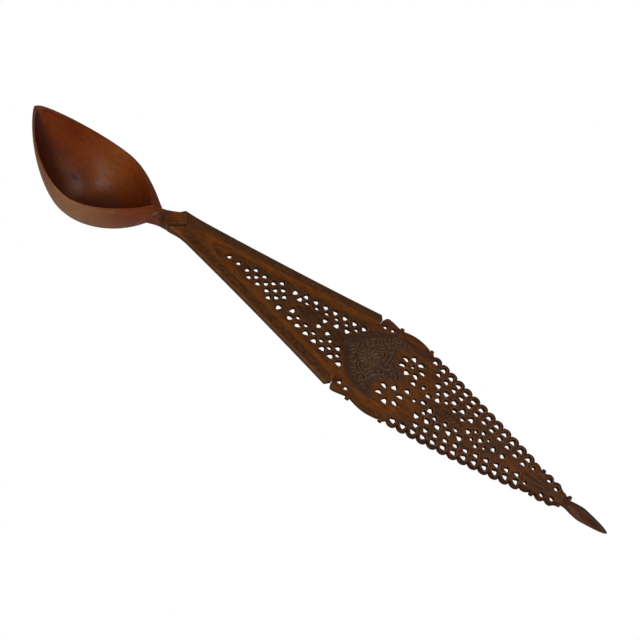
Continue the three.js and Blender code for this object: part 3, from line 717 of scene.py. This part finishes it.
arrow_half = frame_edge(corner_x)
half_arrow = np.array([[-3, 4.4], [-2, 6.0], [-1, 7.8], [-0.4, arrow_half - 0.4], [0, arrow_half]])
half_arrow[:, 0] += corner_x
arrow_outline = np.concatenate([half_arrow * (1, -1), [[corner_x + arrow_length, 0]], half_arrow[::-1]])
arrow = Board(arrow_outline, offsets=(0.2, 0.5, 0.8), spacing=0.35)
x, y = arrow.points.T
joint_dark, joint_light, joint_orange = joint_carving(x, y)
beside = np.minimum(arrow.side, np.abs(x - corner_x + 3))
arrow_top = stem_top(x) - 0.2 * joint_dark - (x < corner_x) * edge_rounding(beside, 0.3)
piece("stem_arrow_head", *arrow.solid(arrow_top, -frame_thickness - fit - 0.5), rail_wood, {
    "carve": both(0.7 * joint_dark + 0.9 * (x < corner_x) * (np.abs(y) > 7)),
    "pale": both(0.5 * joint_light),
    "warm": both(0.85 * joint_orange),
})

x = np.linspace(corner_x - 0.5, corner_x + wedge_length, 40)
t = (x - x[0]) / (x[-1] - x[0])
wedge_top = np.full(len(x), -frame_thickness - fit)
wedge_bottom = corner_bottom + (wedge_top - wedge_end - corner_bottom) * t
wedge_half = frame_edge(x) - wedge_start_inset
wedge_half -= (wedge_inset - wedge_start_inset) * step(x, corner_x, corner_x + wedge_narrowing)
wedge = squared_rings(x, wedge_half, wedge_top, wedge_bottom, 64)
piece("stem_wedge", wedge, ring_faces(wedge), rail_wood)

# Pierced panel
# A thin board of the same wood, sawn through with a fine blade into rows of loops. Each loop keeps a
# raised ring with a gouged line round it. The wedge lies between the rails, its edge tongue glued
# behind their lips, and the broad part and the tail stand free.
panel_face = -0.3
panel_back = -2.5
shoulder_half = 35.2
shoulder_from_rail = 5.1
waist_half = 33.2
lobe_half = 35.1
nib_one = rail_end + 14.7
nib_two = rail_end + 36.2
nib_width = 2.6
nib_height = 1.9
tail_x = rail_end + 41.7
tail_pitch = 6.12
tail_loops = 13
tail_first_y = 28.3
tail_last_y = 9.9
tail_bow = 0.8
scallop_out = 4.1
scallop_valley = 1.9
tail_row_gap = 5.2
inner_row_gap = 6.3
last_row_gap = 4.6
second_shift, third_first, fourth_first, inner_stretch = 0.05, 1.85, 2.45, 1.08
end_nib_x = tail_x + 84.1
end_nib_half = 10.7
panel_end_x = tail_x + 101
panel_end_half = 4.0


def tail_place(k):
    """Place k on the tail's edge row, a straight line plus 4 bow s (1 - s), and its turn there."""
    length = tail_pitch * (tail_loops - 1)
    s = k * tail_pitch / length
    y = tail_first_y + (tail_last_y - tail_first_y) * s + 4 * tail_bow * s * (1 - s)
    slope = (tail_last_y - tail_first_y + 4 * tail_bow * (1 - 2 * s)) / length
    return tail_x + tail_pitch * k, y, math.atan(slope)


def tail_inward(k, distance):
    """The place at a distance inwards from place k, square to the row, with the same turn."""
    x, y, turn = tail_place(k)
    return x + distance * math.sin(turn), y - distance * math.cos(turn), turn


def nib(x, y, count=9):
    """A small knob on the edge: a superellipse's upper half over a straight foot."""
    t = np.linspace(np.pi, 0, count)
    across = nib_width / 2 * rounded(np.cos(t), 0.5)
    return np.stack([x + across, y + nib_height * np.sin(t) ** 0.5], 1)


def scallop(k, count=12):
    """An arc through two valleys of the edge with its crown midway between them."""
    x, y, turn = tail_place(k)
    half = tail_pitch / 2 / math.cos(turn)
    rise = scallop_out - scallop_valley
    radius = (half**2 + rise**2) / (2 * rise)
    angle = math.asin(min(half / radius, 1)) * np.linspace(-1, 1, count, endpoint=False)
    u, v = radius * np.sin(angle), scallop_out - radius + radius * np.cos(angle)
    c, s = math.cos(turn), math.sin(turn)
    return np.stack([x + u * c - v * s, y + u * s + v * c], 1)


def rounded_run(corners, count=6):
    """A smooth run through corners: a Catmull-Rom curve with doubled ends."""
    p = np.concatenate([corners[:1], corners, corners[-1:]])
    t = np.linspace(0, 1, count, endpoint=False)[None, :, None]
    a, b, c, d = [p[i : len(p) - 3 + i, None] for i in range(4)]
    curve = b + t * (c - a) / 2 + t**2 * (a - 2.5 * b + 2 * c - d / 2)
    curve += t**3 * ((d - a) / 2 + 1.5 * (b - c))
    return np.concatenate([curve.reshape(-1, 2), corners[-1:]])


far_start = opening_edge(-seam, rail_end + rail_end_slope + fit, 70)
shoulder = np.array([
    [rail_end + rail_end_slope + fit, frame_edge(rail_end) - rail_end_drop],
    [rail_end + shoulder_from_rail - 1.2, shoulder_half - 0.5],
    [rail_end + shoulder_from_rail + 1.5, shoulder_half - 0.2],
    [nib_one - 2.5, waist_half + 0.3],
])
s = np.linspace(0, 1, 30)[1:-1]
lobe = np.stack([
    nib_one + nib_width / 2 + (nib_two - nib_one - nib_width) * s,
    waist_half + (lobe_half - waist_half) * np.sin(np.pi * s),
], 1)
last_crown = np.array([tail_inward(tail_loops - 0.5, -scallop_valley)[:2]] + [
    (tail_x + 78.5, 11.4), (tail_x + 80.3, 11.2), (tail_x + 81.8, 10.1)
])
ending = np.array([
    [tail_x + 86.2, 8.8], [tail_x + 88.2, 10.1], [tail_x + 90.4, 9.7], [tail_x + 92.0, 7.6],
    [tail_x + 93.6, 8.4], [tail_x + 95.7, 8.4], [tail_x + 97.8, 6.2], [tail_x + 99.4, 5.2],
    [panel_end_x, panel_end_half + 0.9],
])
far_edge = np.concatenate([
    far_start,
    rounded_run(shoulder),
    nib(nib_one, waist_half),
    lobe,
    nib(nib_two, waist_half - 0.8),
    *[scallop(k) for k in range(tail_loops)],
    last_crown,
    nib(end_nib_x, end_nib_half - nib_height),
    rounded_run(ending),
])
panel_outline = np.concatenate([far_edge, mirrored(far_edge[1:])])

ARCH, OVAL = 5, 2
loop, second_loop, third_loop, fourth_loop = (1.6, 2.0), (1.5, 1.8), (1.6, 2.1), (1.35, 1.7)
oval, axis_oval = (1.5, 2.0), (1.35, 2.1)


def tail_rows(second_start):
    """Four rows of loops on the far side, the outermost one along the scallops."""
    edge = [(*tail_place(k), *loop, ARCH) for k in range(tail_loops)]
    places = range(second_start, tail_loops)
    second = [(*tail_inward(k + second_shift, tail_row_gap), *second_loop, ARCH) for k in places]
    depth = tail_row_gap + inner_row_gap
    places = third_first + inner_stretch * np.arange(5)
    third = [(*tail_inward(k, depth), *third_loop, ARCH) for k in places]
    depth += last_row_gap
    places = fourth_first + inner_stretch * np.arange(4)
    fourth = [(*tail_inward(k, depth), *fourth_loop, OVAL) for k in places]
    turn = tail_place(tail_loops)[2]
    return edge + second + third + fourth + [
        (tail_x + x, y, turn, 1.4, 1.7, OVAL) for x, y in ((89.4, 6.1), (95, 4.1))
    ]


def tail_singles():
    """Single holes beside the axis, x from the tail's start, and two in the shoulder."""
    sizes = [
        (-3.1, 4, 3.5, 3.8), (2.9, 6.2, 2.1, 3.3), (7.9, 3.2, 3.5, 3.5), (13.4, 5.1, 3.2, 4.6),
        (41, 3.4, 1.8, 3.2), (45, 5.9, 2.4, 3.6), (49.4, 3.5, 1.6, 3), (78.4, 6.5, 2.2, 3),
    ]
    shoulder_holes = [(rail_end + x, y, 0, 1.15, 1.75, OVAL) for x, y in ((6, 28), (10.9, 29.2))]
    return [(tail_x + x, y, 0, w / 2, h / 2, OVAL) for x, y, w, h in sizes] + shoulder_holes


far_singles = [(55.8, 8.3, 3, 5), (60.2, 5.9, 2.8, 4.9), (79.5, 4.0, 2.8, 4.4), (86.2, 6.0, 3, 5),
               (92.8, 7.7, 3.5, 4.4)]
near_singles = [(54.6, 8.9, 3, 5), (61.6, 4.9, 2.8, 4.9), (78.8, 2.1, 3, 4.4), (85.4, 2.8, 2.8, 4.4),
                (89.1, 6.7, 2.2, 3.8), (95.2, 7.8, 3, 4.2)]


brick_x, brick_pitch, brick_row_gap = nose_x + 13.3, 6.6, 3.9
slant_x, slant_pitch, slant, slant_bow = nose_x + 62.7, 6.26, 0.176, 0.25
outer_slant_y, inner_slant_y = 10.4, 6.2


def wedge_rows(slip, outer_half, inner_half, single_sizes):
    """Bricks of ovals near the nose, two slanted rows along the rail, bowed as a sine, and singles."""
    rows = [
        (brick_x + brick_pitch * (2.5 * row + k), brick_row_gap * row, 0, *oval, OVAL)
        for row, count in ((1, 4), (2, 1)) for k in range(count)
    ]
    slanted = []
    for first_y, sizes, places in (
        (outer_slant_y, (outer_half, 2.15), np.arange(7)),
        (inner_slant_y, (inner_half, 1.6), np.arange(0.5, 6)),
    ):
        y = first_y + slant * slant_pitch * places + slant_bow * np.sin(np.pi * places / 6)
        x = slant_x + slip + slant_pitch * places
        slanted += [(*place, math.atan(slant), *sizes, OVAL) for place in zip(x, y)]
    singles = [(nose_x + x, y, 0, w / 2, h / 2, OVAL) for x, y, w, h in single_sizes]
    return rows + slanted + singles


roundel_radius, petal = 6.3, (1.7, 2.3)


def roundel(x, y, petals, start):
    """A ring of petal holes that point to the roundel's middle."""
    angles = 2 * np.pi * (np.arange(petals) + start) / petals
    ring_x, ring_y = x + roundel_radius * np.cos(angles), y + roundel_radius * np.sin(angles)
    return [(*place, *petal, OVAL) for place in zip(ring_x, ring_y, angles + np.pi / 2)]


def over(holes):
    """The same holes on the other side of the axis: mirrored, with their turns reversed."""
    return [
        (x, -y, math.pi - turn if foot == ARCH else -turn, a, b, foot) for x, y, turn, a, b, foot in holes
    ]


far_roundel = (rail_end + 32.7, 13.9)
near_roundel = (rail_end + 31.5, -13.9)
far_tail, near_tail = (tail_rows(k) + tail_singles() for k in (1, 2))
axis_x = [brick_x + brick_pitch * k for k in range(7)] + [tail_x + x for x in (37.1, 45.6, 54.1, 60.4)]
holes = far_tail + wedge_rows(-0.7, 1.55, 1.35, far_singles)
holes += over(near_tail + wedge_rows(0.7, 1.8, 1.5, near_singles))
holes += [(x, 0, 0, *axis_oval, OVAL) for x in axis_x]
holes += roundel(*far_roundel, 7, 0.1) + roundel(*near_roundel, 6, 0.5)
holes += [(*far_roundel, 0, 0.95, 1.5, OVAL)]

panel = Board(panel_outline, offsets=(0.13, 0.45, 0.8, 1.15), spacing=0.62, holes=holes)
x, y = panel.points.T
free = (x > rail_end + 2) & (x < panel_end_x - 1.2)
near_edge = np.minimum(panel.gap, np.where(free, panel.side, 9.0))
ring = bump(panel.gap, 0.55, 0.3)
groove = bump(panel.gap, 1.35, 0.28)
past_rails = step(x, rail_end + 3, rail_end + 8)
rim, rim_groove = past_rails * bump(panel.side, 0.5, 0.35), past_rails * bump(panel.side, 1.15, 0.2)


def leaf(centre, length, half):
    """How far inside an almond shape on the axis a point lies: 1 - |v| / (half (1 - u^2))."""
    u = (x - centre) / (length / 2)
    inside = np.clip(1 - u * u, 0, 1)
    return np.clip(1 - np.abs(y) / np.maximum(half * inside, 1e-6), 0, 1) * (inside > 0)


middle_x, palmette_x, palmette_root, oval_x = 205.2, 263, 273, 107
dark_oval = leaf(oval_x, 19, 5.2)
veins = [
    (leaf(middle_x, 17, 4.2), np.sin(np.pi * (x - middle_x) / 2.6 + 0.9 * np.abs(y)) ** 2),
    (leaf(palmette_x, 18, 5.5), 0.5 + 0.5 * np.cos(17 * np.arctan2(np.abs(y), palmette_root - x))),
    (dark_oval, np.sin(np.pi * (x - oval_x) / 2.4 + 1.2 * np.sin(1.3 * y)) ** 2),
]
leaf_lines = sum(step(within, 0.02, 0.2) * vein for within, vein in veins)
spear = np.clip((x - 120.5) * 0.62 - np.abs(y), 0, 3) * (x < 134)
spear_lines = (spear > 0) * 0.5 * (1 + np.sin(2 * np.pi * spear / 1.3))

lattice_start, broad_start, tail_start = (44, 56), (134, 140), (178, 188)
lattice = step(x, *lattice_start) * (1 - step(x, *broad_start))
broad = step(x, *broad_start) * (1 - step(x, *tail_start))
tail = step(x, *tail_start)
to_rail = frame_edge(x) - rail_width - np.abs(y)
border = lattice * (1 - step(to_rail, 1.2, 3.2))
cut_edge = 1 - step(near_edge, 0.05, 0.35)
# Painted highlights: the tops of the raised rings round the holes and of the rim along the outline are
# made paler.
ring_top = ring + rim * bump(panel.side, 1.2, 0.35)
# Painted shade: the tail's scallop crowns are darkened, fully on the far side and half as much on the near
# side.
crown = tail * free * (1 - step(panel.side, 0.5, 1.1)) * np.where(y > 0, 1.0, 0.5)
web = 1 - step(panel.gap, 1.1, 1.9)
from_band = y - 27.4 + 13.4 * (np.clip(180 - x, 0, 50) / 43) ** 3
band = broad * step(from_band, -3, -2.2) * (1 - step(from_band, 2, 2.8)) * (1 - step(x, 176, 181))
band_lines = band * (0.5 + 0.5 * np.cos(2 * np.pi * from_band / 1.25))
edge_lines = broad * (bump(panel.side, 1.6, 0.4) + 0.8 * bump(panel.side, 3.2, 0.4)) * (np.abs(y) > 20)
panel_top = panel_face + 0.22 * (1 - step(x, 50, 90)) + 0.12 * ring - 0.26 * groove
panel_top += 0.1 * rim - 0.22 * rim_groove - 0.25 * leaf_lines
panel_top -= 0.2 * spear_lines + edge_rounding(near_edge, 0.2)
panel_top += 0.3 * band - 0.2 * band_lines - 0.2 * edge_lines
carved = groove * (0.8 - 0.32 * lattice - 0.2 * tail) + 0.5 * rim_groove + 0.5 * spear_lines
carved += 0.6 * (cut_edge + band_lines + edge_lines) + 0.8 * crown + 0.45 * leaf_lines
oily = lattice * (0.32 * web + 0.1) * (1 - border) * np.where(y > 0, 1, 0.7)
oily += 0.7 * band * (1 - 0.4 * step(x, 158, 168)) + 0.3 * step(dark_oval, 0, 0.25)
ruddy = 0.75 * band + 0.8 * (y > 24) * (1 - step(x, rail_end + 9, rail_end + 15)) * broad
ruddy += 0.3 * step(x, tail_x + 92, tail_x + 99)
panel_wood = Wood(
    "panel_wood", (86, 47, 15), (108, 54, 4), (62, 44, 27), (118, 62, 4), (126, 92, 62),
    rough=0.45, coat=0.03, grain=1.4,
)
piece("pierced_board", *panel.solid(panel_top, panel_back), panel_wood, {
    "carve": both(carved, 0.6 * (panel.gap < 0.01) + 0.5 * (panel.side < 0.01)),
    "patina": both(oily, 0.25),
    "warm": both(0.9 * border * (1 - 0.5 * web) + np.where(y > 0, 0.4, 0.65) * broad),
    "pale": both(ring_top * (0.75 * tail + 0.4 * broad + 0.3 * lattice)),
    "ruddy": both(ruddy),
}, "pierced_panel")

# Panel edge tongue
# The wedge's edge is cut down to a thin tongue of the board's own wood. It runs behind the rails'
# lips and is glued there.
tongue_root = 0.5
tongue_end = rail_end + rail_end_slope + fit + tongue_root
tongue_out, tongue_in = opening_edge(lap_width, tongue_end), opening_edge(-fit - tongue_root, tongue_end)
tongue_outline = np.concatenate(
    [tongue_out[::-1], mirrored(tongue_out[1:])[::-1], mirrored(tongue_in[1:]), tongue_in]
)
tongue = Board(tongue_outline, offsets=(0.2,), spacing=1.2)
tongue_top = -lip_thickness - fit - edge_rounding(tongue.side, 0.2)
piece("panel_tongue", *tongue.solid(tongue_top, panel_back), panel_wood)

# Medallion
# A raised shield left standing on the broad part, carved with a rosette, swirling leaves round it
# and fine lines along its border. Its high places are painted paler grey-brown, as highlights.
half_shield = np.array([
    [-7.6, 0], [-4, 7.5], [1, 16], [7, 22.2], [14, 25.6], [22, 26.6], [27, 24.6],
    [22.4, 20], [21.6, 12.5], [25, 7], [31.5, 3.4], [34, 0],
])
shield_edge = rounded_run(half_shield + (rail_end, 0), 8)
shield_outline = np.concatenate([shield_edge, mirrored(shield_edge[1:-1])])[::-1]
shield = Board(shield_outline, offsets=(0.2, 0.5, 0.8), spacing=0.33)
x, y = shield.points.T
rosette_x, rosette_y = 148.0, -0.6
rosette_petals, rosette_edge = 14, 7.3
leaf_pitch, curl_pitch, line_pitch = 2.3, 2.4, 1.25
u, v = x - rosette_x, y - rosette_y
radius, angle = np.hypot(u, v), np.arctan2(v, u)
petals = step(radius, 1.6, 2.4) * (1 - step(radius, 6.4, 7.1))
petals *= 0.5 + 0.5 * np.cos(rosette_petals * angle + 0.25 * radius)
cell_rows = ((10.6, 10), (16.2, 15), (21.8, 20), (27.4, 26))
centres = np.concatenate([
    r * np.stack([np.cos(a), np.sin(a)], 1)
    for r, n in cell_rows for a in [2 * np.pi * (np.arange(n) + 0.5 * (r > 16) + 0.3) / n]
])
away = np.hypot(np.subtract.outer(u, centres[:, 0]), np.subtract.outer(v, centres[:, 1]))
own = away.argmin(1)
nearest, second = np.sort(away, 1)[:, :2].T
dx, dy = u - centres[own, 0], v - centres[own, 1]
around = np.arctan2(dy, dx)
lean = np.arctan2(centres[own, 1], centres[own, 0]) + 0.9 * (2 * (own % 2) - 1)
along, beside = dx * np.cos(lean) + dy * np.sin(lean), dx * np.sin(lean) - dy * np.cos(lean)
leaf_form = np.cos(2 * np.pi * (beside + 0.07 * along**2) / leaf_pitch)
curl_form = np.cos(around * (1 - 2 * (own % 2)) + 2 * np.pi * nearest / curl_pitch)
form = np.where(own % 3 == 0, curl_form, leaf_form) * step(second - nearest, 0.0, 0.8)
open_side = (x < 159) | (y < -24)
plain_border = (x < 152) & (y > 0)
field_start = np.where(open_side & (y < 0), 3.8, np.where(plain_border, 4.2, 1.5))
field = step(radius, 7.4, 8.0) * step(shield.side, field_start, field_start + 0.5)
nested = 0.5 - 0.5 * np.cos(2 * np.pi * shield.side / line_pitch)
nested *= open_side * (y < 0) * (shield.side < 3.8)
circle = bump(radius, rosette_edge, 0.35)
shield_relief = 0.27 * petals + field * 0.28 * form - 0.3 * nested - 0.25 * circle
shield_relief += 0.3 * bump(radius, 0, 1)
shield_top = 0.2 + np.clip(shield_relief, -0.4, 0.4) - edge_rounding(shield.side, 0.5)
hollows = np.clip(0.3 - 2.2 * shield_relief, 0, 1) * np.maximum(field, np.maximum(radius < 7.4, nested))
shield_wood = Wood(
    "shield_wood", (80, 50, 28), (70, 44, 26), (62, 41, 28), (96, 56, 20), (112, 84, 58),
    rough=0.38, coat=0.1, grain=0.6,
)
piece("carved_medallion", *shield.solid(shield_top, panel_face - 0.5), shield_wood, {
    "carve": both(0.7 * hollows),
    # The pale on the raised relief is a painted highlight on its ridges.
    "pale": both(np.minimum(1.5 * shield_relief, 0.5)),
    "patina": both(0.8 * plain_border * (1 - field) * (radius > 8)),
    "ruddy": both(0.6 * (1 - step(shield.side, 0.3, 1.2))),
})

# Finial
# A bud of the same wood, turned, flattened with the knife and glued over the panel's tail tongue.
# A carved collar sits high on its neck.
bud_radius = 4.1
bud_widest = 12.5
bud_length = 29.5
bud_flattening = 0.85
bud_neck_radius = 2.9
bud_tip_power = 0.52
bud_middle = (panel_face + panel_back) / 2
collar_length = 3.5
collar_half = 3.9
knob_inset, knob_height = 0.9, 2.1
near_side_share = 0.72


def bud_radius_at(along):
    """Swells from the collar as a sine, and then tapers as (1 - s)^power to the tip."""
    swell = np.sin(np.pi / 2 * np.clip((along - collar_length) / (bud_widest - collar_length), 0, 1))
    taper = np.clip((along - bud_widest) / (bud_length - bud_widest), 0, 1)
    body = bud_neck_radius + (bud_radius - bud_neck_radius) * swell
    return np.where(along < bud_widest, body, bud_radius * (1 - taper) ** bud_tip_power)


along = np.concatenate([np.linspace(fit, bud_widest, 30)[:-1],
                        bud_widest + (bud_length - bud_widest) * np.sin(np.linspace(0, np.pi / 2, 60))])
angle = np.linspace(0, 2 * np.pi, 72, endpoint=False)
bud_r = np.maximum(bud_radius_at(along), 0.02)[:, None] * (1 + 0.03 * np.cos(angle * 2 - 2.2))
bud = np.stack([
    np.broadcast_to((panel_end_x + along)[:, None], bud_r.shape),
    bud_r * np.cos(angle),
    bud_middle + bud_flattening * bud_r * np.sin(angle),
], -1)
bud_wood = Wood(
    "bud_wood", (72, 36, 12), (64, 34, 12), (38, 26, 14), (84, 42, 8), (104, 84, 62),
    rough=0.36, coat=0.1, grain=0.6,
)
piece("finial_bud", bud, ring_faces(bud), bud_wood, {
    # Painted light and shade: the far top is darker, and the near side warmer and paler.
    "patina": (0.35 + 0.65 * step(along, 6, 14))[:, None] * bump(angle, 1.1, 0.65),
    "warm": (1 - step(along, 14, 24))[:, None] * bump(angle, 2.1, 0.8),
    "ruddy": 0.6 * bump(along, 15, 5)[:, None] * bump(angle, 3.4, 0.5),
    "pale": 0.5 * step(along, 21, 28)[:, None] * bump(angle, 2.2, 0.9)
    + 0.4 * bump(along, 14, 7)[:, None] * bump(angle, 3.1, 0.4),
}, "finial")

along = np.linspace(0, collar_length, 15)
knob = step(along, 0.9, 1.3) * (1 - step(along, 3.1, collar_length))
flush = 1 - step(along, 0, 0.9)
collar_top, collar_bottom = 0.5 + knob_height * knob, -3 - 0.2 * knob
collar = squared_rings(
    panel_end_x + seam + along, collar_half - knob_inset * knob, collar_top, collar_bottom, 48
)
collar[..., 1] += (knob_inset * knob + 0.8 * flush)[:, None] * step(collar[..., 2], -1, 1)
collar[..., 1] *= np.where(collar[..., 1] < 0, near_side_share, 1)
piece("finial_collar", collar, ring_faces(collar), bud_wood, {
    # Painted light and shade: the far side is darker and the near half warmer.
    "patina": 0.8 * step(collar[..., 1], 1.5, 3),
    "warm": 0.5 * (collar[..., 1] < 1),
})
